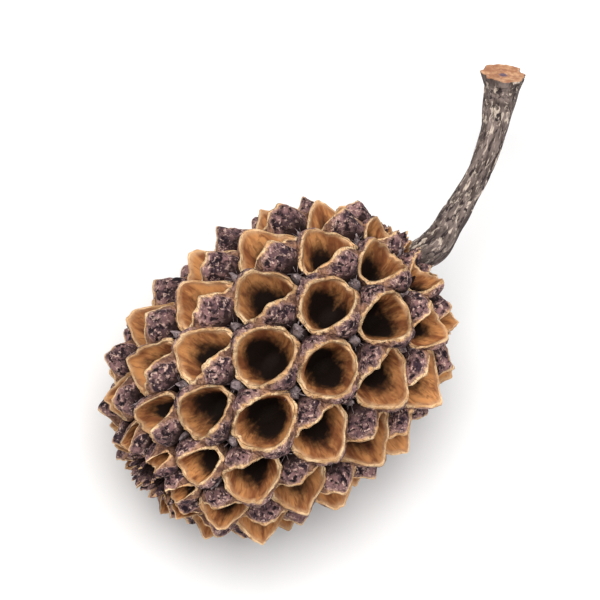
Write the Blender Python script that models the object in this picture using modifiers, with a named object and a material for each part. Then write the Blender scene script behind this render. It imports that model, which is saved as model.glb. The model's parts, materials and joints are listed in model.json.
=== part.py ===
"""A ripe casuarina cone with its short woody stalk, lying on its side.

The head is a barrel of woody fruits in alternating rings of eight. Each fruit is a pair of valves that
gape like a beak, with one small bract between every four of them. The stalk leaves the end of the head,
bends aside and ends in a flared cut. Metres, +Z up. The head's axis is level and lies along X, with the
cone's tip toward -X and the stalk toward +X. The cone lies on z = 0, and the origin is the middle of its
bounding box there.
"""

import math
import random

import bmesh
import bpy
from mathutils import Matrix, Vector

MM = 0.001

# The head's barrel, through the middles of the open mouths
MOUTH_HALF_LENGTH = 9.9 * MM
MOUTH_RADIUS = 7.6 * MM
BARREL_POWER = 2.45
AXIS_HEIGHT = 7.55 * MM

# The rings of fruits, counted from the cone's tip to the stalk
FRUITS_IN_RING = 8
RING_PITCH = 2.38 * MM
FIRST_RING = -2
LAST_RING = 8
RING_AT_MIDDLE = 2.9
LEAN_SHARE = 0.9
SMALLEST_SHARE = 0.45
SHRINK_POWER = 0.6
END_GAPES = (0.55, 0.85)

# One fruit at full size: half widths along the cone and round it, and heights from its mouth's middle
RIM_HALF = (1.8 * MM, 1.48 * MM)
RIM_POINTEDNESS = 1.15
RIM_THICK = 0.3 * MM
TIP_RISE = 0.25 * MM
CORNER_DROP = 1.15 * MM
GABLE_POWER = 1.15
BELLY_HALF = (1.65 * MM, 1.5 * MM)
BELLY_DEPTH = 1.55 * MM
ROOT_HALF = (1.45 * MM, 1.4 * MM)
ROOT_DEPTH = 3.0 * MM
POCKET_DEPTH = 2.0 * MM
FULL_SIDES = 12
SMALL_SIDES = 8
SMALL_BELOW = 0.8

# How far one fruit may differ from the next
SEED = 1907
SIZE_SPREAD = 0.05
GAPE_SPREAD = 0.12
TURN_SPREAD = math.radians(6)
TILT_SPREAD = math.radians(4)

# The solid heart that the fruits grow from
CORE_DEPTH = 2.3 * MM
CORE_BANDS = 12
CORE_STEPS = 16

# The bracts between the fruits, and the tuft of scales round the cone's tip
BRACT_HALF = (0.5 * MM, 0.72 * MM)
BRACT_DEPTHS = (2.9 * MM, 1.2 * MM)
SPIKE_SIDES = 4
TUFT_RINGS = ((6, 1.3 * MM, 0.1 * MM), (3, 0.5 * MM, 0.3 * MM))
TUFT_SCALE_HALF = (0.65 * MM, 0.65 * MM)
TUFT_SCALE_LENGTH = 1.9 * MM
TUFT_SPLAY = math.radians(12)

# The stalk: places on its middle line from the head's middle, in mm, each with its radius in mm
STALK_ROUTE = (
    ((8.0, 0.0, 0.0), 0.72),
    ((9.8, -0.15, 0.0), 0.80),
    ((11.3, -0.3, 0.0), 0.80),
    ((12.9, 0.1, 0.05), 0.72),
    ((14.8, 0.75, 0.1), 0.64),
    ((16.6, 1.5, 0.15), 0.63),
    ((18.6, 2.7, 0.2), 0.72),
    ((20.1, 3.9, 0.25), 0.86),
    ((21.1, 4.75, 0.3), 1.15),
)
STALK_RIDGES = 7
RIDGE_DEPTH = 0.16
STALK_TWIST = math.radians(40)
SOCKET_RADIUS = 1.2 * MM
SOCKET_DEPTH = 2.4 * MM
SOCKET_SIDES = 20
GROUND_BLOCK = 60 * MM

COLOURS = {
    "cone_head": (0.16, 0.085, 0.055, 1.0),
    "stem": (0.17, 0.14, 0.12, 1.0),
}


def clear_scene():
    for old in list(bpy.data.objects):
        bpy.data.objects.remove(old, do_unlink=True)


def new_collection(name):
    made = bpy.data.collections.new(name)
    bpy.context.scene.collection.children.link(made)
    return made


def object_from(bm, name, home):
    """Turns a bmesh into an object in the collection."""
    mesh = bpy.data.meshes.new(name)
    bm.to_mesh(mesh)
    bm.free()
    made = bpy.data.objects.new(name, mesh)
    home.objects.link(made)
    return made


def wood(name):
    """A matt woody material in the sub-part's overall colour."""
    made = bpy.data.materials.new(name)
    made.use_nodes = True
    shader = made.node_tree.nodes["Principled BSDF"]
    shader.inputs["Base Color"].default_value = COLOURS[name]
    shader.inputs["Roughness"].default_value = 0.8
    shader.inputs["Metallic"].default_value = 0.0
    return made


def meridian(steps=480):
    """The barrel's outline from tip to stalk, as points (distance along it, x, radius, slope of its normal)."""
    points = []
    for i in range(steps + 1):
        turn = math.pi * (i / steps - 0.5)
        x = MOUTH_HALF_LENGTH * math.copysign(abs(math.sin(turn)) ** (2 / BARREL_POWER), turn)
        radius = MOUTH_RADIUS * abs(math.cos(turn)) ** (2 / BARREL_POWER)
        along = math.copysign((abs(x) / MOUTH_HALF_LENGTH) ** (BARREL_POWER - 1), x) / MOUTH_HALF_LENGTH
        out = (radius / MOUTH_RADIUS) ** (BARREL_POWER - 1) / MOUTH_RADIUS
        points.append([0.0, x, radius, math.atan2(along, out)])
    for before, after in zip(points, points[1:]):
        after[0] = before[0] + math.hypot(after[1] - before[1], after[2] - before[2])
    middle = points[steps // 2][0]
    for point in points:
        point[0] -= middle
    return points


def ring_place(points, ring):
    """The x, radius and slope of the normal where this ring of fruits opens."""
    distance = (ring - RING_AT_MIDDLE) * RING_PITCH
    for before, after in zip(points, points[1:]):
        if after[0] >= distance:
            share = (distance - before[0]) / (after[0] - before[0])
            return [b + (a - b) * share for b, a in zip(before[1:], after[1:])]
    return points[-1][1:]


def size_share(radius):
    """Fruits shrink toward both ends of the head."""
    return max(SMALLEST_SHARE, (radius / MOUTH_RADIUS) ** SHRINK_POWER)


def gape_share(ring):
    """The last two rings at each end stay closer to shut."""
    from_end = min(ring - FIRST_RING, LAST_RING - ring)
    return END_GAPES[from_end] if from_end < len(END_GAPES) else 1.0


def frame_at(x, radius, slope, row):
    """A frame on the barrel at one of its 16 rows: X along the cone, Y round it, Z outward."""
    turn = math.pi * row / FRUITS_IN_RING
    lean = slope * LEAN_SHARE
    outward = Vector((0.0, -math.sin(turn), math.cos(turn)))
    round_axis = Vector((0.0, math.cos(turn), math.sin(turn)))
    out = outward * math.cos(lean) + Vector((math.sin(lean), 0.0, 0.0))
    along = round_axis.cross(out)
    frame = Matrix((along, round_axis, out)).transposed().to_4x4()
    frame.translation = Vector((x, 0.0, 0.0)) + outward * radius
    return frame


def draws(ring, row):
    """What makes this fruit differ from the next: its size, gape, turn and tilt."""
    luck = random.Random(SEED + 100 * ring + row)
    size = 1 + luck.uniform(-SIZE_SPREAD, SIZE_SPREAD)
    gape = 1 + luck.uniform(-GAPE_SPREAD, GAPE_SPREAD)
    turn = luck.uniform(-TURN_SPREAD, TURN_SPREAD)
    tilt = luck.uniform(-TILT_SPREAD, TILT_SPREAD)
    return size, gape, turn, tilt


def gable(angle):
    """The rim's height: up at each valve's tip, and down where the two valves meet."""
    return TIP_RISE - (TIP_RISE + CORNER_DROP) * abs(math.cos(angle)) ** GABLE_POWER


def oval(half, height, sides, size, pointedness=1.0):
    """A closed ring of points round a fruit. A pointedness over 1 draws its ends in toward a lozenge."""
    points = []
    for i in range(sides):
        angle = 2 * math.pi * i / sides
        x = half[0] * math.copysign(abs(math.cos(angle)) ** pointedness, math.cos(angle))
        y = half[1] * math.copysign(abs(math.sin(angle)) ** pointedness, math.sin(angle))
        points.append(Vector((x, y, height(angle))) * size)
    return points


def fruit(size, gape, sides):
    """A pair of valves as a loft: the sunk root, the belly, the rim and its inside edge, then the pocket."""
    rim = (RIM_HALF[0], RIM_HALF[1] * gape)
    inside = (rim[0] - RIM_THICK / size, rim[1] - RIM_THICK / size)
    sections = (
        oval(ROOT_HALF, lambda angle: -ROOT_DEPTH, sides, size),
        oval(BELLY_HALF, lambda angle: -BELLY_DEPTH, sides, size),
        oval(rim, gable, sides, size, RIM_POINTEDNESS),
        oval(inside, gable, sides, size, RIM_POINTEDNESS),
    )
    bm = bmesh.new()
    loops = [[bm.verts.new(point) for point in section] for section in sections]
    for lower, upper in zip(loops, loops[1:]):
        for i in range(sides):
            after = (i + 1) % sides
            bm.faces.new((lower[i], lower[after], upper[after], upper[i]))
    floor = bm.verts.new((0.0, 0.0, -POCKET_DEPTH * size))
    for i in range(sides):
        bm.faces.new((loops[-1][i], loops[-1][(i + 1) % sides], floor))
    bm.faces.new(list(reversed(loops[0])))
    return bm


def add_fruits(points, home):
    for ring in range(FIRST_RING, LAST_RING + 1):
        x, radius, slope = ring_place(points, ring)
        share = size_share(radius)
        sides = FULL_SIDES if share > SMALL_BELOW else SMALL_SIDES
        for i in range(FRUITS_IN_RING):
            row = 2 * i + ring % 2
            size, gape, turn, tilt = draws(ring, row)
            bm = fruit(share * size, gape_share(ring) * gape, sides)
            loose = Matrix.Rotation(turn, 4, "Z") @ Matrix.Rotation(tilt, 4, "X")
            bm.transform(frame_at(x, radius, slope, row) @ loose)
            object_from(bm, f"fruit {ring} {row}", home)


def add_spike(half, root, top, frame, name, home):
    """A pointed scale along the frame's Z, from its sunk root up to its point."""
    bm = bmesh.new()
    bmesh.ops.create_cone(
        bm, cap_ends=True, segments=SPIKE_SIDES, radius1=1.0, radius2=0.0, depth=1.0
    )
    stretch = Matrix.Diagonal((half[0], half[1], top - root, 1.0))
    bm.transform(frame @ Matrix.Translation((0.0, 0.0, (root + top) / 2)) @ stretch)
    object_from(bm, name, home)


def add_bracts(points, home):
    """One bract in the middle of every four fruits."""
    for ring in range(FIRST_RING, LAST_RING + 1):
        x, radius, slope = ring_place(points, ring)
        share = size_share(radius)
        half = (BRACT_HALF[0] * share, BRACT_HALF[1] * share)
        root, top = (-depth * share for depth in BRACT_DEPTHS)
        for i in range(FRUITS_IN_RING):
            row = 2 * i + 1 - ring % 2
            add_spike(half, root, top, frame_at(x, radius, slope, row), f"bract {ring} {row}", home)


def add_tuft(home):
    """Small pointed scales crowded round the cone's tip, splayed a little from -X."""
    for count, radius, reach in TUFT_RINGS:
        for i in range(count):
            around = Matrix.Rotation(2 * math.pi * (i + 0.3) / count, 4, "X")
            aside = Matrix.Translation((-MOUTH_HALF_LENGTH, 0.0, radius))
            forward = Matrix.Rotation(-math.pi / 2 + TUFT_SPLAY, 4, "Y")
            frame = around @ aside @ forward
            add_spike(TUFT_SCALE_HALF, reach - TUFT_SCALE_LENGTH, reach, frame, f"tuft {count} {i}", home)


def core(points, home):
    """The heart, turned round X: the barrel's outline drawn in by the depth of the fruits."""
    bm = bmesh.new()
    before = None
    for _, x, radius, slope in reversed(points[:: len(points) // CORE_BANDS]):
        depth = CORE_DEPTH * size_share(radius)
        inset = (x - depth * math.sin(slope), 0.0, max(0.0, radius - depth * math.cos(slope)))
        vert = bm.verts.new(inset)
        if before:
            bm.edges.new((before, vert))
        before = vert
    made = object_from(bm, "cone_head", home)
    screw = made.modifiers.new("turned", "SCREW")
    screw.axis = "X"
    screw.steps = CORE_STEPS
    screw.render_steps = CORE_STEPS
    screw.use_merge_vertices = True
    screw.merge_threshold = 0.00001
    apply_modifiers(made)
    return made


def apply_modifiers(obj):
    """Keeps the object's evaluated mesh as its own."""
    bpy.context.view_layer.update()
    graph = bpy.context.evaluated_depsgraph_get()
    mesh = bpy.data.meshes.new_from_object(obj.evaluated_get(graph))
    obj.modifiers.clear()
    obj.data = mesh


def boolean(obj, operation):
    """A Boolean step still to be aimed. The exact solver leaves edges open among so many small faces."""
    step = obj.modifiers.new(operation.lower(), "BOOLEAN")
    step.operation = operation
    step.solver = "MANIFOLD"
    return step


def join(obj, collection):
    """One union with all of a collection's objects, which are then removed."""
    step = boolean(obj, "UNION")
    step.operand_type = "COLLECTION"
    step.collection = collection
    apply_modifiers(obj)
    for used in list(collection.objects):
        bpy.data.objects.remove(used, do_unlink=True)
    bpy.data.collections.remove(collection)


def cut(obj, cutter):
    boolean(obj, "DIFFERENCE").object = cutter
    apply_modifiers(obj)


def keep_outer_shell(obj):
    """Fills the hollows that the joining sealed between the fruits, by keeping only the largest shell."""
    bm = bmesh.new()
    bm.from_mesh(obj.data)
    left = set(bm.faces)
    shells = []
    while left:
        shell = {left.pop()}
        edge_of_shell = list(shell)
        while edge_of_shell:
            face = edge_of_shell.pop()
            near = {other for edge in face.edges for other in edge.link_faces} & left
            left -= near
            shell |= near
            edge_of_shell += near
        shells.append(shell)
    shells.sort(key=len)
    scraps = [face for shell in shells[:-1] for face in shell]
    bmesh.ops.delete(bm, geom=scraps, context="FACES")
    bm.to_mesh(obj.data)
    bm.free()


def as_cutter(made, name, home):
    """Moves a new primitive to the helpers, out of the render."""
    made.name = name
    for used in list(made.users_collection):
        used.objects.unlink(made)
    home.objects.link(made)
    made.hide_render = True
    made.display_type = "WIRE"
    return made


def cone_head(cone, helpers):
    """The heart and all that grows from it in one solid, with the stalk's socket and the flats it lies on."""
    repeats = new_collection("fruits and bracts")
    points = meridian()
    add_fruits(points, repeats)
    add_bracts(points, repeats)
    add_tuft(repeats)
    head = core(points, cone)
    join(head, repeats)

    bpy.ops.mesh.primitive_cylinder_add(
        vertices=SOCKET_SIDES,
        radius=SOCKET_RADIUS,
        depth=2 * SOCKET_DEPTH,
        location=(MOUTH_HALF_LENGTH, 0.0, 0.0),
        rotation=(0.0, math.pi / 2, 0.0),
    )
    cut(head, as_cutter(bpy.context.object, "stalk socket", helpers))
    bpy.ops.mesh.primitive_cube_add(
        size=GROUND_BLOCK, location=(0.0, 0.0, -AXIS_HEIGHT - GROUND_BLOCK / 2)
    )
    cut(head, as_cutter(bpy.context.object, "ground", helpers))
    keep_outer_shell(head)
    return head


def stem(cone, helpers):
    """A ridged tube along the stalk's route: a star-shaped profile swept with a slow twist."""
    profile = bpy.data.curves.new("stalk profile", "CURVE")
    profile.dimensions = "2D"
    star = profile.splines.new("POLY")
    star.points.add(2 * STALK_RIDGES - 1)
    for i, point in enumerate(star.points):
        turn = -math.pi * i / STALK_RIDGES
        reach = (1 - RIDGE_DEPTH * (i % 2)) * MM
        point.co = (reach * math.cos(turn), reach * math.sin(turn), 0.0, 1.0)
    star.use_cyclic_u = True
    guide = bpy.data.objects.new("stalk profile", profile)
    guide.hide_render = True
    guide.display_type = "WIRE"
    helpers.objects.link(guide)

    curve = bpy.data.curves.new("stem", "CURVE")
    curve.dimensions = "3D"
    curve.bevel_mode = "OBJECT"
    curve.bevel_object = guide
    curve.use_fill_caps = True
    curve.resolution_u = 4
    spline = curve.splines.new("BEZIER")
    spline.bezier_points.add(len(STALK_ROUTE) - 1)
    for i, (place, radius) in enumerate(STALK_ROUTE):
        point = spline.bezier_points[i]
        point.co = Vector(place) * MM
        point.handle_left_type = "AUTO"
        point.handle_right_type = "AUTO"
        point.radius = radius
        point.tilt = STALK_TWIST * i / (len(STALK_ROUTE) - 1)
    made = bpy.data.objects.new("stem", curve)
    cone.objects.link(made)
    return made


def middle_of(objects):
    """The middle of the box round these objects' evaluated shapes."""
    bpy.context.view_layer.update()
    graph = bpy.context.evaluated_depsgraph_get()
    places = []
    for obj in objects:
        evaluated = obj.evaluated_get(graph)
        places += [evaluated.matrix_world @ vert.co for vert in evaluated.to_mesh().vertices]
    low = Vector([min(place[axis] for place in places) for axis in range(3)])
    high = Vector([max(place[axis] for place in places) for axis in range(3)])
    return (low + high) / 2


def main():
    clear_scene()
    cone = new_collection("casuarina cone")
    helpers = new_collection("cutters and guides")
    pieces = [cone_head(cone, helpers), stem(cone, helpers)]

    middle = middle_of(pieces)
    rest = bpy.data.objects.new("casuarina cone", None)
    cone.objects.link(rest)
    rest.location = (-middle.x, -middle.y, AXIS_HEIGHT)
    for piece in pieces:
        piece.parent = rest
        piece.data.materials.clear()
        piece.data.materials.append(wood(piece.name))
    print("The head's middle is at", [round(value / MM, 3) for value in rest.location], "mm")


main()
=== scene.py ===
# %% [markdown]
# # A casuarina cone
#
# The casuarina, or she-oak, ripens its seeds in a small woody cone. The cone is a barrel of fruits in rings,
# and each fruit opens like a beak as it dries. This lesson dresses the plain solid of such a cone with the
# shapes and finishes of the real one, and lights it on a pale table.
#
# The first step loads the solid. Its places and sizes hold for everything that follows, so its box is kept,
# to be compared with the finished cone's.

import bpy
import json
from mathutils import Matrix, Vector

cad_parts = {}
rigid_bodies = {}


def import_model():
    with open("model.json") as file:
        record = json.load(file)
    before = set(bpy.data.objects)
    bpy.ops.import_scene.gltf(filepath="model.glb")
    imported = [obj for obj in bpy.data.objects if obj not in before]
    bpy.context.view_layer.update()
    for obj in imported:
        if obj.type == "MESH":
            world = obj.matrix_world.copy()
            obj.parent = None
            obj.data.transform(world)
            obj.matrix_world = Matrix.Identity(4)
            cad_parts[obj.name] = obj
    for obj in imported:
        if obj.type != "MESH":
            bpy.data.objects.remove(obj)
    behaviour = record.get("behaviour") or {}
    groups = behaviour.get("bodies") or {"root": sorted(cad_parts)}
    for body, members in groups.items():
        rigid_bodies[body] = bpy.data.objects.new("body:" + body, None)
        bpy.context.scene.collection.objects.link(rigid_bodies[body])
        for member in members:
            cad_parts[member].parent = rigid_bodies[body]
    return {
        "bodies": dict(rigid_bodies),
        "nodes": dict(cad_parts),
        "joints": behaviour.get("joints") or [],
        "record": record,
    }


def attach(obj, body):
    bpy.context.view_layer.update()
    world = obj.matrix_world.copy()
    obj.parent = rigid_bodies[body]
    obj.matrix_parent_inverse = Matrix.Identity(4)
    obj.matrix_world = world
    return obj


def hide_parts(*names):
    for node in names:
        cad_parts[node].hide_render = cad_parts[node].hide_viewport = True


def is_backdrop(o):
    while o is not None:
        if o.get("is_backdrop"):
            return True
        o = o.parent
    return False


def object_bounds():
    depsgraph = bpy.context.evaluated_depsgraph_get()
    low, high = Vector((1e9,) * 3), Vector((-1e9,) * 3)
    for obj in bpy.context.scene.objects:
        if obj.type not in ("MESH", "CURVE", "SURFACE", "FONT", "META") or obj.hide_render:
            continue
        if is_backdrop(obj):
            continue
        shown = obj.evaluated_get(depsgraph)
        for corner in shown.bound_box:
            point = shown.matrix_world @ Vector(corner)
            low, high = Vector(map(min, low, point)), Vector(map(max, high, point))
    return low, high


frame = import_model()
solid_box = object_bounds()
print("The solid cone's nodes:", ", ".join(sorted(frame["nodes"])))

# %% Tools and units
import json
import math
import random

import bpy
import numpy as np
from mathutils import Matrix, Quaternion, Vector, noise

MM = 0.001
for end, corner in zip(("low", "high"), solid_box):
    print(f"The solid's {end} corner is at", [round(value / MM, 2) for value in corner], "mm")

# %% [markdown]
# ## The camera
#
# The photograph looks steeply down on the cone, which points down and to the left, with its stalk going up
# and to the right. A camera could be turned by hand until the picture looks right. Here its azimuth,
# elevation and roll are numbers worked out from where the mouths of the fruits lie in the photograph, so
# that the render can be laid beside it. The camera stands well back with a long lens, as for a product shot,
# which keeps the near fruits from looking too big.

# %% Aim the camera
VIEW_AZIMUTH, VIEW_ELEVATION, VIEW_ROLL = (math.radians(turn) for turn in (-60.62, 72.49, 19.54))
VIEW_MIDDLE = Vector((-2.625, 1.965, 8.734)) * MM
VIEW_WIDTH = 32.82 * MM
CAMERA_AWAY = 400 * MM
SENSOR = 36.0

toward_camera = Vector((
    math.sin(VIEW_AZIMUTH) * math.cos(VIEW_ELEVATION),
    -math.cos(VIEW_AZIMUTH) * math.cos(VIEW_ELEVATION),
    math.sin(VIEW_ELEVATION),
))
view_turn = (-toward_camera).to_track_quat("-Z", "Y") @ Quaternion((0.0, 0.0, 1.0), VIEW_ROLL)
view_right = view_turn @ Vector((1.0, 0.0, 0.0))
view_up = view_turn @ Vector((0.0, 1.0, 0.0))

camera = bpy.data.objects.new("camera", bpy.data.cameras.new("camera"))
camera.data.sensor_width = SENSOR
camera.data.lens = SENSOR * CAMERA_AWAY / VIEW_WIDTH
camera.data.clip_start = 10 * MM
camera.rotation_mode = "QUATERNION"
camera.rotation_quaternion = view_turn
camera.location = VIEW_MIDDLE + toward_camera * CAMERA_AWAY
bpy.context.scene.collection.objects.link(camera)
bpy.context.scene.camera = camera
print("The lens is", round(camera.data.lens), "mm")

# %% [markdown]
# ## Colours and nodes
#
# Colours are easier to name as a paint chart gives them, from 0 to 255. Blender's nodes work in linear
# light, so each colour is turned once, here. A small helper also adds a node and fills its inputs in one
# line, from plain values or from another node's output.

# %% Name colours, add nodes
def paint(red, green, blue):
    """A paint chart's colour in linear light, with full alpha."""
    shares = [part / 255 for part in (red, green, blue)]
    return tuple(s / 12.92 if s < 0.04045 else ((s + 0.055) / 1.055) ** 2.4 for s in shares) + (1.0,)


def add(tree, kind, inputs=None, **settings):
    """A new node, with its inputs set to values or joined to other nodes' outputs."""
    made = tree.nodes.new("ShaderNode" + kind)
    for name, value in settings.items():
        setattr(made, name, value)
    for key, value in (inputs or {}).items():
        if isinstance(value, bpy.types.NodeSocket):
            tree.links.new(value, made.inputs[key])
        else:
            made.inputs[key].default_value = value
    return made


def math_of(tree, operation, first, second=0.0):
    """The result of one sum on two values."""
    return add(tree, "Math", {0: first, 1: second}, operation=operation).outputs[0]


def ramp(tree, value, low, high):
    """0 where the value is at low and 1 where it is at high, smooth in between."""
    made = add(
        tree, "MapRange", {"Value": value, "From Min": low, "From Max": high}, interpolation_type="SMOOTHSTEP"
    )
    return made.outputs["Result"]


def mixed(tree, share, first, second):
    """The first colour where the share is 0, the second where it is 1."""
    made = add(tree, "Mix", {0: share, 6: first, 7: second}, data_type="RGBA")
    return made.outputs[2]


def mark(tree, name, output="Fac"):
    """A value that the mesh keeps at each of its points."""
    return add(tree, "Attribute", attribute_name=name, attribute_type="GEOMETRY").outputs[output]


print("A tan rim in linear light:", [round(part, 3) for part in paint(214, 168, 118)])

# %% [markdown]
# ## What all the wood shares
#
# Wood, scale and bark all vary in the same way: two tones mixed by cloudy noise, with fine specks on top.
# That could be repeated in each material. As one node group with named inputs, it is built once, and
# each material gives it its own tones and sizes. It puts out a colour, and a height for bumps.

# %% Build the mottle group
def group_of(name, inputs, outputs):
    """An empty node group with named sockets, and its input and output nodes."""
    tree = bpy.data.node_groups.new(name, "ShaderNodeTree")
    for label, kind in inputs:
        tree.interface.new_socket(label, in_out="INPUT", socket_type="NodeSocket" + kind)
    for label, kind in outputs:
        tree.interface.new_socket(label, in_out="OUTPUT", socket_type="NodeSocket" + kind)
    given = tree.nodes.new("NodeGroupInput").outputs
    result = tree.nodes.new("NodeGroupOutput").inputs
    return tree, given, result


mottle, given, result = group_of(
    "mottle",
    (("Place", "Vector"), ("Cloud Scale", "Float"), ("Speck Scale", "Float"), ("Dark", "Color"),
     ("Light", "Color"), ("Speck", "Color"), ("Speck Amount", "Float")),
    (("Color", "Color"), ("Height", "Float")),
)
cloud = add(mottle, "TexNoise", {"Vector": given["Place"], "Scale": given["Cloud Scale"], "Detail": 3.0,
                                 "Roughness": 0.6})
speck = add(mottle, "TexNoise", {"Vector": given["Place"], "Scale": given["Speck Scale"], "Detail": 3.0,
                                 "Roughness": 0.6, "Distortion": 0.9})
tones = mixed(mottle, ramp(mottle, cloud.outputs["Fac"], 0.36, 0.64), given["Dark"], given["Light"])
specks = math_of(mottle, "MULTIPLY", ramp(mottle, speck.outputs["Fac"], 0.52, 0.66), given["Speck Amount"])
mottle.links.new(mixed(mottle, specks, tones, given["Speck"]), result["Color"])
height = math_of(mottle, "MULTIPLY_ADD", speck.outputs["Fac"], 0.5)
mottle.links.new(cloud.outputs["Fac"], height.node.inputs[2])
mottle.links.new(height, result["Height"])
print("The mottle group has", len(mottle.nodes), "nodes")


def mottled(tree, place, cloud_scale, speck_scale, dark, light, speck, amount):
    """The mottle group placed in a material, with this material's own tones."""
    made = add(tree, "Group", node_tree=mottle)
    values = (place, cloud_scale, speck_scale, dark, light, speck, amount)
    for socket, value in zip(made.inputs, values):
        if isinstance(value, bpy.types.NodeSocket):
            tree.links.new(value, socket)
        else:
            socket.default_value = value
    return made.outputs["Color"], made.outputs["Height"]


def new_material(name, roughness):
    """A material with its Principled shader, and its tree's places in millimetres."""
    made = bpy.data.materials.new(name)
    made.use_nodes = True
    tree = made.node_tree
    shader = tree.nodes["Principled BSDF"]
    shader.inputs["Roughness"].default_value = roughness
    shader.inputs["Specular IOR Level"].default_value = 0.3
    spot = add(tree, "TexCoord").outputs["Object"]
    place = add(tree, "VectorMath", {0: spot, "Scale": 1 / MM}, operation="SCALE").outputs[0]
    return made, tree, shader, place


# %% [markdown]
# ## The wood of the fruits
#
# A ripe fruit shows three kinds of wood. The inside of its two valves is golden brown, and painted shade
# darkens it down the pocket; the thin lip where the wood broke open is bright tan, and each valve's back
# carries a rough plate of purple-brown, with painted shade darkening the valleys between the backs. Three
# materials on separate faces would meet in hard steps. One material that reads marks kept on the mesh, such as
# how far a point lies below the lip, lets noise fray the borders.

# %% Mix the fruit wood
fruit_wood, tree, shader, place = new_material("fruit_wood", 0.8)
shader.inputs["Specular IOR Level"].default_value = 0.15
side, below, plate, own = (mark(tree, name) for name in ("side", "below", "plate", "own"))
grain = mark(tree, "grain", "Vector")

fray = add(tree, "TexNoise", {"Vector": place, "Scale": 3.2, "Detail": 4.0}).outputs["Fac"]
fray = math_of(tree, "SUBTRACT", fray, 0.5)

inside_colour, inside_height = mottled(
    tree, grain, 0.9, 2.6, paint(138, 84, 52), paint(212, 150, 94), paint(104, 63, 43), 0.55
)
margin_colour, _ = mottled(
    tree, place, 1.4, 4.0, paint(168, 122, 88), paint(210, 166, 124), paint(140, 96, 72), 0.4
)
inside_colour = mixed(tree, ramp(tree, below, 0.08, 0.45), margin_colour, inside_colour)
# Painted shade: the inside darkens to near black down the pocket, where shade falls in the deep recess.
pocket_shade_depth = math_of(tree, "ADD", below, math_of(tree, "MULTIPLY", fray, 1.2))
inside_colour = mixed(tree, ramp(tree, pocket_shade_depth, 0.65, 2.2), inside_colour, paint(28, 18, 13))

back_colour, back_height = mottled(
    tree, place, 1.5, 4.6, paint(54, 39, 47), paint(136, 102, 101), paint(224, 188, 172), 0.8
)
pits = add(tree, "TexNoise", {"Vector": place, "Scale": 3.4, "Detail": 3.0, "Distortion": 0.4}).outputs["Fac"]
back_colour = mixed(tree, ramp(tree, pits, 0.45, 0.37), back_colour, paint(30, 20, 26))

flank_colour, _ = mottled(
    tree, place, 1.4, 4.0, paint(104, 72, 60), paint(168, 126, 100), paint(74, 52, 52), 0.6
)
plate_edge = math_of(tree, "ADD", plate, math_of(tree, "MULTIPLY", fray, 0.5))
outside_colour = mixed(tree, ramp(tree, plate_edge, -0.03, 0.05), flank_colour, back_colour)
worn = math_of(tree, "MULTIPLY", ramp(tree, plate_edge, 0.18, 0.05), ramp(tree, plate_edge, -0.02, 0.04))
outside_colour = mixed(tree, math_of(tree, "MULTIPLY", worn, 0.55), outside_colour, paint(192, 150, 132))
# Painted shade: the outside darkens the further a point lies below the lip, in the valleys between the backs.
outside_colour = mixed(tree, ramp(tree, below, 0.6, 1.7), outside_colour, paint(42, 27, 25))

lip_colour, _ = mottled(
    tree, place, 1.6, 6.0, paint(214, 166, 118), paint(250, 214, 168), paint(140, 96, 70), 0.4
)
lip_depth = math_of(tree, "ADD", below, math_of(tree, "MULTIPLY", fray, 0.3))
wood_colour = mixed(tree, side, outside_colour, inside_colour)
wood_colour = mixed(tree, ramp(tree, lip_depth, 0.09, 0.03), wood_colour, lip_colour)
shade = add(tree, "HueSaturation", {
    "Color": wood_colour,
    "Value": add(tree, "MapRange", {"Value": own, "To Min": 0.86, "To Max": 1.12}).outputs["Result"],
})
tree.links.new(shade.outputs["Color"], shader.inputs["Base Color"])

back_relief = math_of(tree, "ADD", back_height, ramp(tree, pits, 0.38, 0.5))
back_relief = math_of(tree, "MULTIPLY", back_relief, math_of(tree, "SUBTRACT", 1.0, side))
relief = math_of(tree, "ADD", back_relief, math_of(tree, "MULTIPLY", inside_height, 0.45))
bump = add(tree, "Bump", {"Height": relief, "Strength": 0.8, "Distance": 0.16 * MM})
tree.links.new(bump.outputs["Normal"], shader.inputs["Normal"])
print("The fruit wood has", len(tree.nodes), "nodes")

# %% [markdown]
# ## The grey bracts and the dark heart
#
# Small grey scales, the bracts, sit in the gaps between the fruits, and behind everything is the dark
# heart of the cone. Both could take the fruit wood, but the bracts are weathered to a soft lilac grey
# and the heart is in shadow, so each gets its own mix of the mottle group: the bracts darken toward
# their feet with painted shade in the gaps, and the heart's dark tones are painted shade.

# %% Mix the bract grey and the heart wood
bract_grey, tree, shader, place = new_material("bract_grey", 0.88)
grey, grey_height = mottled(
    tree, place, 1.8, 7.0, paint(92, 76, 78), paint(146, 130, 132), paint(196, 184, 180), 0.6
)
# Painted shade: the grey darkens to brown toward the bract's foot, deep in the gaps between the fruits.
painted_foot_shade = ramp(tree, mark(tree, "below"), 0.5, 1.5)
tree.links.new(mixed(tree, painted_foot_shade, grey, paint(60, 42, 38)), shader.inputs["Base Color"])
bump = add(tree, "Bump", {"Height": grey_height, "Strength": 0.5, "Distance": 0.08 * MM})
tree.links.new(bump.outputs["Normal"], shader.inputs["Normal"])

heart_wood, tree, shader, place = new_material("heart_wood", 0.9)
# Painted shade: the heart's dark browns stand in for the shadow it lies in behind the fruits.
dark, dark_height = mottled(
    tree, place, 1.0, 5.0, paint(44, 28, 22), paint(84, 56, 42), paint(110, 84, 72), 0.3
)
tree.links.new(dark, shader.inputs["Base Color"])
bump = add(tree, "Bump", {"Height": dark_height, "Strength": 0.5, "Distance": 0.1 * MM})
tree.links.new(bump.outputs["Normal"], shader.inputs["Normal"])
print("Materials so far:", ", ".join(sorted(material.name for material in bpy.data.materials)))

# %% [markdown]
# ## The bark and the cut end of the stalk
#
# The stalk's bark is grey, with pale flecks and dark cracks that run along it. Noise looks the same in every
# direction, so the mesh of the stalk keeps a stretched place for each point, and the flecks come out long.
# The flared end was cut and shows its tan wood, which has faint rings round the pith.

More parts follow.
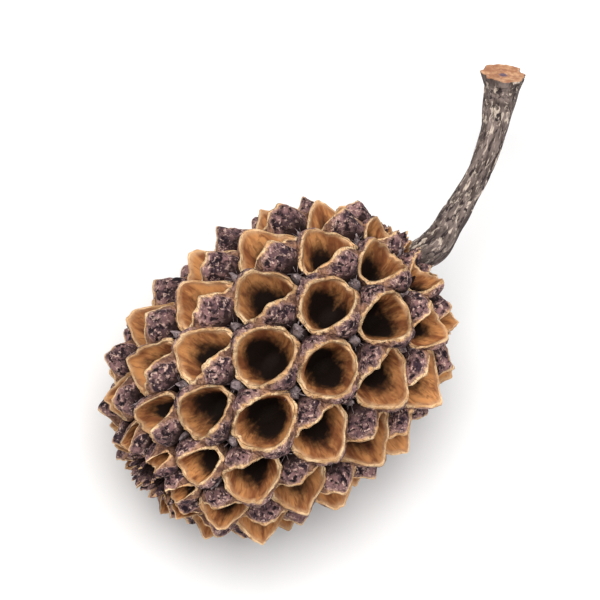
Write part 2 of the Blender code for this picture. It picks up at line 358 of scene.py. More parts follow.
# %% Mix the stalk bark
stalk_bark, tree, shader, place = new_material("stalk_bark", 0.85)
along_bark = mark(tree, "bark_place", "Vector")
bark, bark_height = mottled(
    tree, along_bark, 1.9, 3.6, paint(72, 60, 56), paint(124, 109, 103), paint(212, 195, 178), 0.8
)
cracks = add(tree, "TexNoise", {"Vector": along_bark, "Scale": 4.2, "Detail": 3.0, "Distortion": 0.6})
cracks = cracks.outputs["Fac"]
bark = mixed(tree, ramp(tree, cracks, 0.44, 0.36), bark, paint(46, 36, 36))

rings = math_of(tree, "MULTIPLY", mark(tree, "from_pith"), 26.0)
rings = math_of(tree, "MULTIPLY_ADD", math_of(tree, "SINE", rings), 0.5)
rings.node.inputs[2].default_value = 0.5
cut_colour, _ = mottled(
    tree, place, 1.6, 6.0, paint(176, 120, 84), paint(222, 172, 130), paint(140, 96, 92), 0.5
)
cut_colour = mixed(tree, math_of(tree, "MULTIPLY", rings, 0.35), cut_colour, paint(148, 96, 70))
pith = ramp(tree, mark(tree, "from_pith"), 0.24, 0.12)
cut_colour = mixed(tree, pith, cut_colour, paint(112, 92, 108))
cut = mark(tree, "cut")
tree.links.new(mixed(tree, cut, bark, cut_colour), shader.inputs["Base Color"])
relief = math_of(tree, "ADD", bark_height, math_of(tree, "MULTIPLY", ramp(tree, cracks, 0.36, 0.5), 0.8))
bump = add(tree, "Bump", {"Height": relief, "Strength": 0.6, "Distance": 0.1 * MM})
tree.links.new(bump.outputs["Normal"], shader.inputs["Normal"])
print("The bark has", len(tree.nodes), "nodes")

# %% [markdown]
# ## Lofts
#
# Nearly every part of the cone is a loft: rings of points, one above the other, with faces between them. A
# modelling session would start each from a circle and extrude it. In code a grid of points does the same,
# and many lofts can share one mesh, so that eighty-eight fruits make a few pieces and not eighty-eight.
# Each point also keeps the marks that the materials read.

# %% Gather lofts into pieces
FRUIT_MARKS = ("side", "below", "plate", "own")


class Heap:
    """Points, faces and marks of many lofts, to be made into one piece."""

    def __init__(self, marks, vector_mark=None):
        self.marks = {name: [] for name in marks}
        self.vector_mark = vector_mark
        self.vectors, self.points, self.faces, self.count = [], [], [], 0

    def add_loft(self, grid, vectors=None, **marks):
        """A grid of sections by sides by three, closed at both ends by a fan of faces."""
        sections, sides = grid.shape[:2]

        def with_ends(values):
            ends = values[0].mean(axis=0, keepdims=True), values[-1].mean(axis=0, keepdims=True)
            return np.concatenate([values.reshape(sections * sides, -1), ends[0].reshape(1, -1),
                                   ends[1].reshape(1, -1)])

        self.points.append(with_ends(grid))
        if vectors is not None:
            self.vectors.append(with_ends(vectors))
        for name, kept in self.marks.items():
            values = np.broadcast_to(marks.get(name, 0.0), (sections, sides))
            kept.append(with_ends(values)[:, 0])
        here = self.count + np.arange(sections * sides).reshape(sections, sides)
        after = np.roll(here, -1, axis=1)
        first, last = self.count + sections * sides, self.count + sections * sides + 1
        walls = np.stack([here[:-1], after[:-1], after[1:], here[1:]], axis=-1).reshape(-1, 4)
        self.faces += walls.tolist()
        self.faces += [(first, b, a) for a, b in zip(here[0].tolist(), after[0].tolist())]
        self.faces += [(last, a, b) for a, b in zip(here[-1].tolist(), after[-1].tolist())]
        self.count += sections * sides + 2

    def piece(self, name, material, node):
        """One mesh object that rides on the cone and stands for its solid."""
        mesh = bpy.data.meshes.new(name)
        points = np.concatenate(self.points)
        points[:, 2] = np.maximum(points[:, 2], 0.0)
        mesh.from_pydata(points.tolist(), [], self.faces)
        for label, kept in self.marks.items():
            layer = mesh.attributes.new(label, "FLOAT", "POINT")
            layer.data.foreach_set("value", np.concatenate(kept).astype(np.float32))
        if self.vector_mark:
            layer = mesh.attributes.new(self.vector_mark, "FLOAT_VECTOR", "POINT")
            layer.data.foreach_set("vector", np.concatenate(self.vectors).astype(np.float32).ravel())
        mesh.shade_smooth()
        mesh.materials.append(material)
        made = bpy.data.objects.new(name, mesh)
        bpy.context.scene.collection.objects.link(made)
        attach(made, "root")
        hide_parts(node)
        triangles = sum(len(face) - 2 for face in self.faces)
        print(f"{name}: {len(self.faces)} faces, {triangles} triangles")
        return made


def smooth_through(keys, places):
    """Rows of numbers on a smooth curve through the given rows, at these places along it."""
    keys = np.asarray(keys, float)
    ends = np.concatenate([[2 * keys[0] - keys[1]], keys, [2 * keys[-1] - keys[-2]]])
    rows = []
    for place in places:
        i = min(int(place), len(keys) - 2)
        t = place - i
        a, b, c, d = ends[i:i + 4]
        rows.append(0.5 * (2 * b + (c - a) * t + (2 * a - 5 * b + 4 * c - d) * t**2
                           + (3 * b - a - 3 * c + d) * t**3))
    return np.array(rows)


def smooth_step(value):
    """0 below 0 and 1 above 1, smooth in between."""
    value = np.clip(value, 0.0, 1.0)
    return value * value * (3 - 2 * value)


def roughened(grid, reach, scale, shift):
    """The grid with each of its points, in mm, moved a little by smooth noise."""
    flat = grid.reshape(-1, 3)
    moves = [noise.noise_vector(Vector(point) * scale + shift) for point in flat]
    return (flat + np.array(moves) * reach).reshape(grid.shape)


def placed(grid, frame):
    """A grid in mm moved by a frame in metres, still about the head's middle."""
    return grid @ np.array(frame.to_3x3()).T * MM + np.array(frame.translation)


def leaned(grid):
    """A grid in mm whose foot is drawn toward the stalk, so that it points toward the cone's tip."""
    return grid - np.array([1.0, 0.0, 0.0]) * LEAN_TO_TIP * grid[..., 2:]


LEAN_TO_TIP = 0.2
HEAD_MIDDLE = Vector((-5.813, -0.021, 7.55)) * MM
print("The head's middle is", round(HEAD_MIDDLE.z / MM, 2), "mm above the table")

# %% [markdown]
# ## Where the fruits sit
#
# The fruits open on a barrel, a curve between an ellipse and a box turned round the cone's axis. They stand
# in eleven rings of eight, and each ring is turned by half a place from the one before, as bricks are laid.
# Toward both ends they get smaller and lean outward. These are the solid's own numbers, so that each
# detailed fruit lands on its plain one. Only a small tilt round the cone is added, which turns the mouths the
# way the photograph shows them.

# %% Lay out the rings
MOUTH_HALF_LENGTH = 9.9 * MM
MOUTH_RADIUS = 7.6 * MM
BARREL_POWER = 2.45
FRUITS_IN_RING = 8
RING_PITCH = 2.38 * MM
FIRST_RING = -2
LAST_RING = 8
RING_AT_MIDDLE = 2.9
LEAN_SHARE = 0.9
SMALLEST_SHARE = 0.45
SHRINK_POWER = 0.6
END_GAPES = (0.55, 0.85)
SEED = 1907
SIZE_SPREAD = 0.05
GAPE_SPREAD = 0.12
TURN_SPREAD = math.radians(6)
TILT_SPREAD = math.radians(4)
TILT_ROUND = math.radians(5)

# Unless it is seeded, the noise that moves points differs from run to run.
noise.seed_set(SEED)


def meridian(steps=480):
    """The barrel's outline from tip to stalk, as points (distance along it, x, radius, slope of its normal)."""
    points = []
    for i in range(steps + 1):
        turn = math.pi * (i / steps - 0.5)
        x = MOUTH_HALF_LENGTH * math.copysign(abs(math.sin(turn)) ** (2 / BARREL_POWER), turn)
        radius = MOUTH_RADIUS * abs(math.cos(turn)) ** (2 / BARREL_POWER)
        along = math.copysign((abs(x) / MOUTH_HALF_LENGTH) ** (BARREL_POWER - 1), x) / MOUTH_HALF_LENGTH
        out = (radius / MOUTH_RADIUS) ** (BARREL_POWER - 1) / MOUTH_RADIUS
        points.append([0.0, x, radius, math.atan2(along, out)])
    for before, after in zip(points, points[1:]):
        after[0] = before[0] + math.hypot(after[1] - before[1], after[2] - before[2])
    middle = points[steps // 2][0]
    for point in points:
        point[0] -= middle
    return points


def ring_place(ring):
    """The x, radius and slope of the normal where this ring of fruits opens."""
    distance = (ring - RING_AT_MIDDLE) * RING_PITCH
    for before, after in zip(OUTLINE, OUTLINE[1:]):
        if after[0] >= distance:
            share = (distance - before[0]) / (after[0] - before[0])
            return [b + (a - b) * share for b, a in zip(before[1:], after[1:])]
    return OUTLINE[-1][1:]


def size_share(radius):
    """Fruits shrink toward both ends of the head."""
    return max(SMALLEST_SHARE, (radius / MOUTH_RADIUS) ** SHRINK_POWER)


def gape_share(ring):
    """The last two rings at each end stay closer to shut."""
    from_end = min(ring - FIRST_RING, LAST_RING - ring)
    return END_GAPES[from_end] if from_end < len(END_GAPES) else 1.0


def frame_at(x, radius, slope, row):
    """A frame on the barrel at one of its 16 rows: X along the cone, Y round it, Z outward."""
    turn = math.pi * row / FRUITS_IN_RING
    lean = slope * LEAN_SHARE
    outward = Vector((0.0, -math.sin(turn), math.cos(turn)))
    round_axis = Vector((0.0, math.cos(turn), math.sin(turn)))
    out = outward * math.cos(lean) + Vector((math.sin(lean), 0.0, 0.0))
    along = round_axis.cross(out)
    frame = Matrix((along, round_axis, out)).transposed().to_4x4()
    frame.translation = Vector((x, 0.0, 0.0)) + outward * radius
    return frame


def draws(ring, row):
    """What makes this fruit differ from the next: its size, gape, turn and tilt."""
    luck = random.Random(SEED + 100 * ring + row)
    size = 1 + luck.uniform(-SIZE_SPREAD, SIZE_SPREAD)
    gape = 1 + luck.uniform(-GAPE_SPREAD, GAPE_SPREAD)
    turn = luck.uniform(-TURN_SPREAD, TURN_SPREAD)
    tilt = luck.uniform(-TILT_SPREAD, TILT_SPREAD)
    return size, gape, turn, tilt


OUTLINE = meridian()
for ring in (FIRST_RING, 3, LAST_RING):
    x, radius, slope = ring_place(ring)
    print(f"Ring {ring} opens {radius / MM:.1f} mm from the axis, its fruits at {size_share(radius):.0%}")

# %% Give every fruit its frame, size and gape
def all_fruits():
    fruits = {}
    for ring in range(FIRST_RING, LAST_RING + 1):
        x, radius, slope = ring_place(ring)
        for i in range(FRUITS_IN_RING):
            row = 2 * i + ring % 2
            size, gape, turn, tilt = draws(ring, row)
            loose = Matrix.Rotation(turn, 4, "Z") @ Matrix.Rotation(tilt - TILT_ROUND, 4, "X")
            frame_here = frame_at(x, radius, slope, row) @ loose
            fruits[ring, row] = frame_here, size_share(radius) * size, gape_share(ring) * gape
    return fruits


FRUITS = all_fruits()
print(len(FRUITS), "fruits")

# %% [markdown]
# ## One fruit
#
# A fruit is a pair of valves joined at both corners. Its loft runs up the outside from the sunk root, over
# the thin lip and down into the pocket. Each row below gives a section's half widths along and round the
# cone, how pointed its outline is, how much it follows the lip's gable, and its depth, in mm. The backs
# bulge below the lip so that neighbours crowd each other and close the valleys, as on the real cone. At last
# the fruit's foot is drawn toward the stalk, because ripe fruits point a little toward the tip.

# %% Shape one fruit
OUTSIDE = (
    (0.80, 0.75, 1.0, 0.0, -4.4),
    (1.35, 1.30, 1.0, 0.0, -3.3),
    (1.62, 1.68, 0.95, 0.0, -2.3),
    (1.88, 1.96, 0.9, 0.15, -1.35),
    (1.94, 1.72, 0.92, 0.6, -0.55),
    (1.87, 1.40, 1.1, 1.0, 0.0),
)
INSIDE = (
    (1.77, 1.30, 1.12, 1.0, 0.0),
    (1.74, 1.32, 1.12, 0.6, -0.5),
    (1.60, 1.24, 1.12, 0.15, -1.2),
    (1.38, 1.02, 1.1, 0.0, -2.1),
    (1.05, 0.70, 1.05, 0.0, -2.9),
    (0.50, 0.30, 1.0, 0.0, -3.6),
)
OUTSIDE_PLACES = np.concatenate([np.linspace(0, 2, 5)[:-1], np.linspace(2, 5, 19)])
INSIDE_PLACES = np.linspace(0, 5, 13)
CROWN_STEPS = 3
CROWN = 0.04
TIP_RISE, CORNER_DROP, GABLE_POWER = 0.34, 1.3, 1.4
LIP_WAVES = range(3, 15)
NICKS, NICK_WIDTH = 6, 0.11
GROOVE, GROOVE_WIDTH = 0.14, 0.16
PLATE_HALF, PLATE_ASIDE, PLATE_GAP, PLATE_END, PLATE_RAISE = 1.42, -0.12, 0.03, 2.0, 0.17
PLATE_NARROW, PLATE_WIDENS, PLATE_EDGE = 0.45, 0.7, 0.12
KEEL, KEEL_HALF, KEEL_STARTS = 0.1, 0.8, 0.3
WALL_DEPTH = 2.6
CRUST, CRUST_SCALE = 0.07, 3.6


def lip_line(turns, luck):
    """The lip's height round the mouth: two tips, two low corners, and a little waviness."""
    tips = np.where(np.sin(turns) > 0, luck.uniform(-0.15, 0.13), luck.uniform(-0.15, 0.13))
    line = TIP_RISE + tips - (TIP_RISE + tips + CORNER_DROP) * np.abs(np.cos(turns)) ** GABLE_POWER
    for wave in LIP_WAVES:
        line += luck.uniform(0.01, 0.035) * np.sin(wave * turns + luck.uniform(0, 2 * math.pi))
    for _ in range(NICKS):
        away = np.abs((turns - luck.uniform(0, 2 * math.pi) + math.pi) % (2 * math.pi) - math.pi)
        line -= luck.uniform(0.03, 0.15) * np.exp(-(away / NICK_WIDTH) ** 2)
    return line


def fruit_grid(gape, sides, luck):
    """One fruit's loft in mm at full size, with its marks."""
    turns = np.linspace(0, 2 * math.pi, sides, endpoint=False)
    outside, inside = smooth_through(OUTSIDE, OUTSIDE_PLACES), smooth_through(INSIDE, INSIDE_PLACES)
    shares = np.linspace(0, 1, CROWN_STEPS + 2)[1:-1, None]
    crown = outside[-1] * (1 - shares) + inside[0] * shares
    crown[:, 4] += CROWN * np.sin(math.pi * shares[:, 0])
    half_x, half_y, pointed, follow, depth = (column[:, None] for column in
                                              np.concatenate([outside, crown, inside]).T)
    side = np.concatenate([np.zeros(len(outside)), shares[:, 0], np.ones(len(inside))])[:, None]

    lip = lip_line(turns, luck)[None]
    cosine, sine = np.cos(turns)[None], np.sin(turns)[None]
    z = lip * follow + depth
    below = np.maximum(lip - z, 0.0)
    x = half_x * np.sign(cosine) * np.abs(cosine) ** pointed
    y = half_y * (1 + (gape - 1) * follow) * np.sign(sine) * np.abs(sine) ** pointed

    wall = np.clip(1 + depth / WALL_DEPTH, 0.0, 1.0)
    x -= np.sign(cosine) * GROOVE * np.exp(-(sine / GROOVE_WIDTH) ** 2) * wall * (1 - 0.6 * side)
    rise = np.clip(below / PLATE_WIDENS, 0.0, 1.0)
    plate_half = PLATE_HALF * (PLATE_NARROW + (1 - PLATE_NARROW) * rise)
    plate = np.minimum(plate_half - np.abs(x - PLATE_ASIDE), below - PLATE_GAP)
    plate = np.where(side > 0, -1.0, np.minimum(plate, PLATE_END - below))
    keel = KEEL * np.clip(1 - np.abs(x) / KEEL_HALF, 0.0, 1.0) * np.clip(below / KEEL_STARTS, 0.0, 1.0)
    y += np.sign(sine) * (1 - side) * (PLATE_RAISE * smooth_step(plate / PLATE_EDGE) + keel * wall)
    grid = leaned(np.stack([x, y, z + 0 * x], axis=-1))
    return grid, {"side": side, "below": below, "plate": plate}


trial, _ = fruit_grid(1.0, 48, random.Random(SEED))
print("One fruit's loft:", trial.shape[:2], "and it reaches", round(float(trial[..., 2].max()), 2), "mm out")

# %% [markdown]
# ## Crowding
#
# Left alone, the bulging backs would cut into each other and show through their neighbours' pockets. On the
# tree, crowded fruits press each other flat as they grow. A Boolean could cut each fruit with all of its
# neighbours, but it would be slow and leave ragged edges. Here each point that lies nearer a neighbour's axis
# than its own is drawn back to the border between the two, and the pocket stays a wall's thickness inside it.

# %% Press the fruits together
NEIGHBOURS_WITHIN = 6.5 * MM
WALL = 0.15 * MM
OVERLAP = 0.02 * MM


def from_axis(points, frame):
    """Each point's foot on the fruit's axis, and its distance from it."""
    middle, axis = np.array(frame.translation), np.array((frame.col[2] - frame.col[0] * LEAN_TO_TIP)[:3])
    axis = axis / np.linalg.norm(axis)
    feet = middle + ((points - middle) @ axis)[..., None] * axis
    return feet, np.linalg.norm(points - feet, axis=-1)


def crowded(points, key, side):
    """The fruit's points, drawn in to its own share of the room between it and its neighbours."""
    frame, size, _ = FRUITS[key]
    for _ in range(2):
        feet, distance = from_axis(points, frame)
        allowed = distance.copy()
        for other, (other_frame, other_size, _) in FRUITS.items():
            apart = (other_frame.translation - frame.translation).length
            if other == key or apart > NEIGHBOURS_WITHIN:
                continue
            room = distance + from_axis(points, other_frame)[1]
            allowed = np.minimum(allowed, room * size / (size + other_size) + OVERLAP - WALL * side)
        points = feet + (points - feet) * (allowed / np.maximum(distance, 1e-9))[..., None]
    return points


near = [other for other, _, _ in FRUITS.values()
        if (other.translation - FRUITS[3, 1][0].translation).length < NEIGHBOURS_WITHIN]
print("A fruit in the middle has", len(near) - 1, "neighbours")

# %% [markdown]
# ## The rings of fruits
#
# Each fruit gets its own seeded luck, so that no two lips wave alike, and a little noise on every point.
# The plates on the backs get a rougher noise, for their crust. Every two rings make one piece, six in all,
# because one piece for all the fruits would hold more faces than a single mesh should.

# %% Grow the fruits
FULL_SIDES, SMALL_SIDES = 80, 56
SMALL_BELOW = 0.8
WOOD_NOISE = ((0.10, 0.9), (0.03, 3.2))
CRUST_EDGE = 0.1
GRAIN_ROUND, GRAIN_DOWN = 2.2, 0.45


def grow_fruits(name, rings):
    heap = Heap(FRUIT_MARKS, "grain")
    for (ring, row), (frame, size, gape) in FRUITS.items():
        if ring not in rings:
            continue
        sides = FULL_SIDES if size > SMALL_BELOW else SMALL_SIDES
        luck = random.Random(SEED + 7000 + 100 * ring + row)
        grid, marks = fruit_grid(gape, sides, luck)
        shift = Vector([luck.uniform(-50, 50) for _ in range(3)])
        for reach, scale in WOOD_NOISE:
            grid = roughened(grid, reach, scale, shift)
        on_plate = smooth_step(marks["plate"] / CRUST_EDGE)[..., None]
        grid += on_plate * (roughened(grid, CRUST, CRUST_SCALE, shift) - grid)
        turns = np.broadcast_to(np.linspace(0, 2 * math.pi, sides, endpoint=False), marks["below"].shape)
        stripes = np.stack([GRAIN_ROUND * np.cos(turns), GRAIN_ROUND * np.sin(turns),
                            GRAIN_DOWN * marks["below"]], axis=-1)
        grid = crowded(placed(grid * size, frame), (ring, row), marks["side"])
        heap.add_loft(grid + np.array(HEAD_MIDDLE), stripes + np.array(shift), own=luck.random(), **marks)
    return heap.piece(name, fruit_wood, "cone_head")


for first in range(FIRST_RING, LAST_RING + 1, 2):
    grow_fruits(f"fruits_{first - FIRST_RING + 1}", (first, first + 1))

# %% [markdown]
# ## The heart
#
# Behind the fruits is the cone's solid heart. It hardly shows, but without it light would leak through the
# gaps. It is the barrel's outline drawn in by the depth of the fruits and turned round the axis.

# %% Turn the heart
HEART_DEPTH = 3.95
HEART_SIDES = 64
HEART_NOISE = (0.12, 1.1)

turns = np.linspace(0, 2 * math.pi, HEART_SIDES, endpoint=False)
sections = []
for _, x, radius, slope in OUTLINE[6:-6:8]:
    depth = HEART_DEPTH * size_share(radius) * MM
    inner = max(0.05 * MM, radius - depth * math.cos(slope))
    across = x - depth * math.sin(slope)
    sections.append(np.stack([np.full(HEART_SIDES, across), inner * np.cos(turns), inner * np.sin(turns)], -1))
heap = Heap(())
rough = roughened(np.array(sections) / MM, *HEART_NOISE, Vector((3, 1, 4)))
heap.add_loft(rough * MM + np.array(HEAD_MIDDLE))
heart = heap.piece("heart", heart_wood, "cone_head")

# %% [markdown]
# ## Bracts and their hairs
#
# In the middle of every four fruits a bract ends in a small point. It is lofted like a fruit, but from a
# lens-shaped foot to one tip, and leans as the fruits do. Fine hairs on it catch the light and give the gaps
# their grey bloom. Blender could grow hair curves, but short tapered spikes are plain mesh and go wherever the
# cone goes.

# %% Set the bracts
BRACT_HALF = (0.5, 0.72)
BRACT_ROOT, BRACT_TOP = -2.4, -0.6
BRACT_SECTIONS, BRACT_SIDES = 9, 16
BRACT_NOISE = (0.14, 2.5)
HAIRS_ON_BRACT = 9
HAIR_LENGTH = (0.3, 0.6)
HAIR_RADIUS = 0.028


def spike_grid(half, root, top, sections, sides, luck, ridges=2, bend=0.15, power=0.75):
    """A pointed scale in mm along Z, with a ribbed lens for its foot and a slightly bent tip."""
    turns = np.linspace(0, 2 * math.pi, sides, endpoint=False)[None]
    rise = np.linspace(0, 1, sections)[:, None]
    narrow = (1 - rise) ** power + 0.02
    rib = 1 + 0.12 * np.cos(ridges * turns + luck.uniform(0, 2 * math.pi))
    lean_x, lean_y = luck.uniform(-bend, bend), luck.uniform(-bend, bend)
    x = half[0] * narrow * rib * np.cos(turns) + lean_x * rise**2
    y = half[1] * narrow * rib * np.sin(turns) + lean_y * rise**2
    z = root + (top - root) * rise + 0 * turns
    return np.stack([x, y, z], axis=-1)


def hair(start, direction, length, radius):
    """One tapered spike of three sides, in mm."""
    turn = direction.to_track_quat("Z", "Y").to_matrix().to_4x4()
    ring = np.array([[math.cos(a), math.sin(a), 0.0] for a in (0.0, 2.1, 4.2)])
    grid = np.stack([ring * radius * share + np.array([0, 0, length * rise])
                     for rise, share in ((0.0, 1.0), (0.5, 0.75), (1.0, 0.15))])
    return grid @ np.array(turn.to_3x3()).T + np.array(start)


heap = Heap(("below",))
for ring in range(FIRST_RING, LAST_RING + 1):
    x, radius, slope = ring_place(ring)
    share = size_share(radius)
    for i in range(FRUITS_IN_RING):
        row = 2 * i + 1 - ring % 2
        luck = random.Random(SEED + 9000 + 100 * ring + row)
        frame = frame_at(x, radius, slope, row)
        top = BRACT_TOP + luck.uniform(-0.2, 0.15)
        grid = spike_grid(BRACT_HALF, BRACT_ROOT, top, BRACT_SECTIONS, BRACT_SIDES, luck, ridges=4)
        grid = roughened(grid, *BRACT_NOISE, Vector((row, ring, 0)))
        heap.add_loft(placed(leaned(grid) * share, frame) + np.array(HEAD_MIDDLE), below=top - grid[..., 2])
        for _ in range(HAIRS_ON_BRACT):
            around, rise = luck.uniform(0, 2 * math.pi), luck.uniform(0.45, 0.95)
            narrow = (1 - rise) ** 0.75
            start = Vector((BRACT_HALF[0] * narrow * math.cos(around),
                            BRACT_HALF[1] * narrow * math.sin(around),
                            BRACT_ROOT + (top - BRACT_ROOT) * rise))
            direction = Vector((math.cos(around), math.sin(around), luck.uniform(0.3, 1.6)))
            grid = hair(start, direction, luck.uniform(*HAIR_LENGTH), HAIR_RADIUS)
            heap.add_loft(placed(leaned(grid) * share, frame) + np.array(HEAD_MIDDLE), below=0.0)
bracts = heap.piece("bracts", bract_grey, "cone_head")

# %% [markdown]
# ## Scales at both ends
#
# The tip of the cone ends in a tuft of small dark points, the scales of rings that never opened. Round the
# stalk a collar of closed scales fills the base. Both are the same spike in the fruit wood. Its mark for the
# depth below the lip grows fast from the point down, so that the point is pale and the sides soon take the
# fruit wood's painted valley shade.

# %% Set the tuft and the collar
TUFT_RINGS = ((9, 1.8, -0.2), (7, 1.2, 0.1), (4, 0.55, 0.3))
COLLAR_RINGS = ((9, 1.75, 0.25), (12, 2.4, -0.05), (14, 3.0, -0.55))
SCALE_HALF = (0.3, 0.5)
SCALE_LENGTH = 2.1
SCALE_POINT, SCALE_DARKENS, SCALE_SHADE = 0.1, 2.4, 0.6
SCALE_NOISE = (0.16, 1.8)
TUFT_SPLAY = math.radians(14)
COLLAR_SPLAY = math.radians(24)


def add_scales(heap, end, rings, splay, seed):
    """Rings of (count, distance from the axis, reach past the barrel's end) round one end of the cone."""
    for count, away, reach in rings:
        for i in range(count):
            luck = random.Random(seed + 100 * count + i)
            around = Matrix.Rotation(2 * math.pi * (i + 0.3 + luck.uniform(-0.15, 0.15)) / count, 4, "X")
            aside = Matrix.Translation((end * MOUTH_HALF_LENGTH, 0.0, away * MM))
            forward = Matrix.Rotation(end * (math.pi / 2 - splay * luck.uniform(0.6, 1.4)), 4, "Y")
            top = reach + luck.uniform(-0.2, 0.2)
            grid = spike_grid(SCALE_HALF, top - SCALE_LENGTH, top, 12, 16, luck, ridges=4, power=0.6)
            grid = roughened(grid, *SCALE_NOISE, Vector((i, count, seed)))
            # Painted shade: past the pale point this mark brings on the fruit wood's darkening below the lip.
            below = np.maximum(top - grid[..., 2] - SCALE_POINT, 0.0) * SCALE_DARKENS
            grid_there = placed(grid, around @ aside @ forward) + np.array(HEAD_MIDDLE)
            own = SCALE_SHADE * luck.random()
            heap.add_loft(grid_there, grid * 0.8, side=0.0, below=below, plate=0.2, own=own)


heap = Heap(FRUIT_MARKS, "grain")
add_scales(heap, -1, TUFT_RINGS, TUFT_SPLAY, 300)
add_scales(heap, 1, COLLAR_RINGS, COLLAR_SPLAY, 600)
end_scales = heap.piece("end_scales", fruit_wood, "cone_head")

# %% [markdown]
# ## The stalk
#
# The stalk bends away from the head and flares at its cut. Its middle line follows the solid's route, and
# the section at each step is a ring with soft ribs, cracks and small swellings, all from noise stretched
# along it. The cut is oblique, so the end rings are sheared to lie on one slanting plane.

# %% Sweep the stalk
STALK_ROUTE = (
    ((8.0, 0.0, 0.0), 0.72),
    ((9.8, -0.15, 0.0), 0.80),
    ((11.3, -0.3, 0.0), 0.80),
    ((12.9, 0.1, 0.05), 0.72),
    ((14.8, 0.75, 0.1), 0.64),
    ((16.6, 1.5, 0.15), 0.63),
    ((18.6, 2.7, 0.2), 0.72),
    ((20.1, 3.9, 0.25), 0.86),
    ((21.1, 4.75, 0.3), 1.15),
)
STALK_STEPS, STALK_SIDES = 220, 72
STALK_RIBS, RIB_DEPTH = 8, 0.05
STALK_TWIST = math.radians(40)
STRETCH = 0.46
SWELL = 1.08
KNOB_SCALE, KNOB_DEPTH = 1.6, 0.12
CRACK_SCALE, CRACK_DEPTH = 4.0, 0.10
CUT_SLANT = math.tan(math.radians(36.6))
CUT_BACK = 0.3
CUT_REACH = 3.0
CAP_RINGS = ((0.95, 0.03), (0.86, 0.02), (0.7, -0.03), (0.5, -0.05), (0.3, -0.06), (0.12, -0.1))

places = np.linspace(0, len(STALK_ROUTE) - 1, STALK_STEPS)
route = smooth_through([(*place, radius) for place, radius in STALK_ROUTE], places)
line, radii = route[:, :3], route[:, 3]
ahead = np.gradient(line, axis=0)
steps = np.linalg.norm(ahead, axis=1)
ahead /= steps[:, None]
length = np.cumsum(steps) - steps[0]
toward = np.array(toward_camera)
across = np.cross(toward, ahead)
across /= np.linalg.norm(across, axis=1)[:, None]
facing = np.cross(ahead, across)

turns = np.linspace(0, 2 * math.pi, STALK_SIDES, endpoint=False)
spots = np.stack([
    np.broadcast_to(np.cos(turns), (STALK_STEPS, STALK_SIDES)),
    np.broadcast_to(np.sin(turns), (STALK_STEPS, STALK_SIDES)),
    np.broadcast_to(STRETCH * length[:, None], (STALK_STEPS, STALK_SIDES)),
], axis=-1)
knobs = np.array([noise.noise(Vector(spot) * KNOB_SCALE) for spot in spots.reshape(-1, 3)])
knobs = knobs.reshape(spots.shape[:2])
crack_shift = Vector((9, 9, 9))
cracks = np.array([noise.noise(Vector(spot) * CRACK_SCALE + crack_shift) for spot in spots.reshape(-1, 3)])
cracks = cracks.reshape(spots.shape[:2])
twist = STALK_TWIST * length[:, None] / length[-1]
ribs = np.cos(STALK_RIBS * (turns[None] + twist))
swell = SWELL + RIB_DEPTH * ribs + KNOB_DEPTH * knobs - CRACK_DEPTH * smooth_step((cracks - 0.1) / 0.25)
reach = radii[:, None] * swell
grid = (line[:, None] + across[:, None] * (reach * np.cos(turns))[..., None]
        + facing[:, None] * (reach * np.sin(turns))[..., None])
near_cut = smooth_step((length - length[-1] + CUT_REACH) / CUT_REACH)[:, None]
slide = near_cut * (-CUT_BACK - CUT_SLANT * reach * np.sin(turns))
grid += ahead[:, None] * slide[..., None]

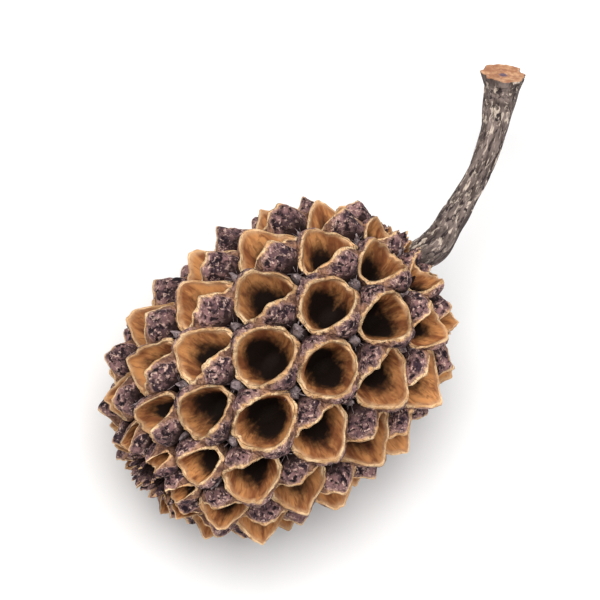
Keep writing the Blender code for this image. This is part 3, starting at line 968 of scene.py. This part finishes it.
rim = grid[-1]
middle = rim.mean(axis=0)
caps = [middle + (rim - middle) * share + ahead[-1] * lift for share, lift in CAP_RINGS]
grid = np.concatenate([grid, caps])
bark_place = np.concatenate([spots, np.broadcast_to(spots[-1], (len(caps),) + spots[-1].shape)])
cut_mark = np.repeat([0.0, 1.0], [STALK_STEPS, len(caps)])[:, None]
from_pith = np.concatenate([np.ones(STALK_STEPS), [share for share, _ in CAP_RINGS]])[:, None]
heap = Heap(("cut", "from_pith"), "bark_place")
heap.add_loft(grid * MM + np.array(HEAD_MIDDLE), bark_place, cut=cut_mark, from_pith=from_pith)
stalk = heap.piece("stalk", stalk_bark, "stem")
print(f"The stalk is {length[-1]:.1f} mm long")

# %% [markdown]
# ## The table and the light
#
# The cone lies on a plain, nearly white table. The photograph's light is broad and soft, from above and a
# little from the top of the picture, and the shadow gathers close under the cone. One large area light does
# that, a weaker one fills from the right, and the world's even glow lifts the rest.

# %% Lay the table
table_top, tree, shader, place = new_material("table_top", 0.6)
shader.inputs["Base Color"].default_value = (0.86, 0.86, 0.86, 1.0)
bpy.ops.mesh.primitive_plane_add(size=3.0, location=(0.0, 0.0, -0.02 * MM))
table = bpy.context.object
table.name = "table"
table.data.materials.append(table_top)
table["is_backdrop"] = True

world = bpy.data.worlds.new("studio")
world.use_nodes = True
world.node_tree.nodes["Background"].inputs["Color"].default_value = (0.97, 0.98, 1.0, 1.0)
world.node_tree.nodes["Background"].inputs["Strength"].default_value = 0.62
bpy.context.scene.world = world

# %% Hang the lights
LIGHT_AWAY = 350 * MM
LIGHTS = (
    ("key light", (-0.04, 0.28, 0.93), 240 * MM, 1.2, (1.0, 0.98, 0.95)),
    ("fill light", (0.7, -0.1, 0.6), 300 * MM, 0.2, (0.95, 0.97, 1.0)),
)
for name, (right, up, toward_us), side_length, power, tint in LIGHTS:
    lamp = bpy.data.lights.new(name, "AREA")
    lamp.energy, lamp.size, lamp.color = power, side_length, tint
    direction = (view_right * right + view_up * up + toward_camera * toward_us).normalized()
    hung = bpy.data.objects.new(name, lamp)
    hung.location = VIEW_MIDDLE + direction * LIGHT_AWAY
    hung.rotation_euler = direction.to_track_quat("Z", "Y").to_euler()
    bpy.context.scene.collection.objects.link(hung)
bpy.context.scene.view_settings.view_transform = "Standard"
print("Lights:", ", ".join(light[0] for light in LIGHTS))

# %% [markdown]
# ## Check and finish
#
# The finished cone has to fill the same box as its solid.

# %% Compare the boxes and finish
finished_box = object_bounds()
for end, before, after in zip(("low", "high"), solid_box, finished_box):
    print(f"The {end} corner moved by", [round((a - b) / MM, 2) for a, b in zip(after, before)], "mm")
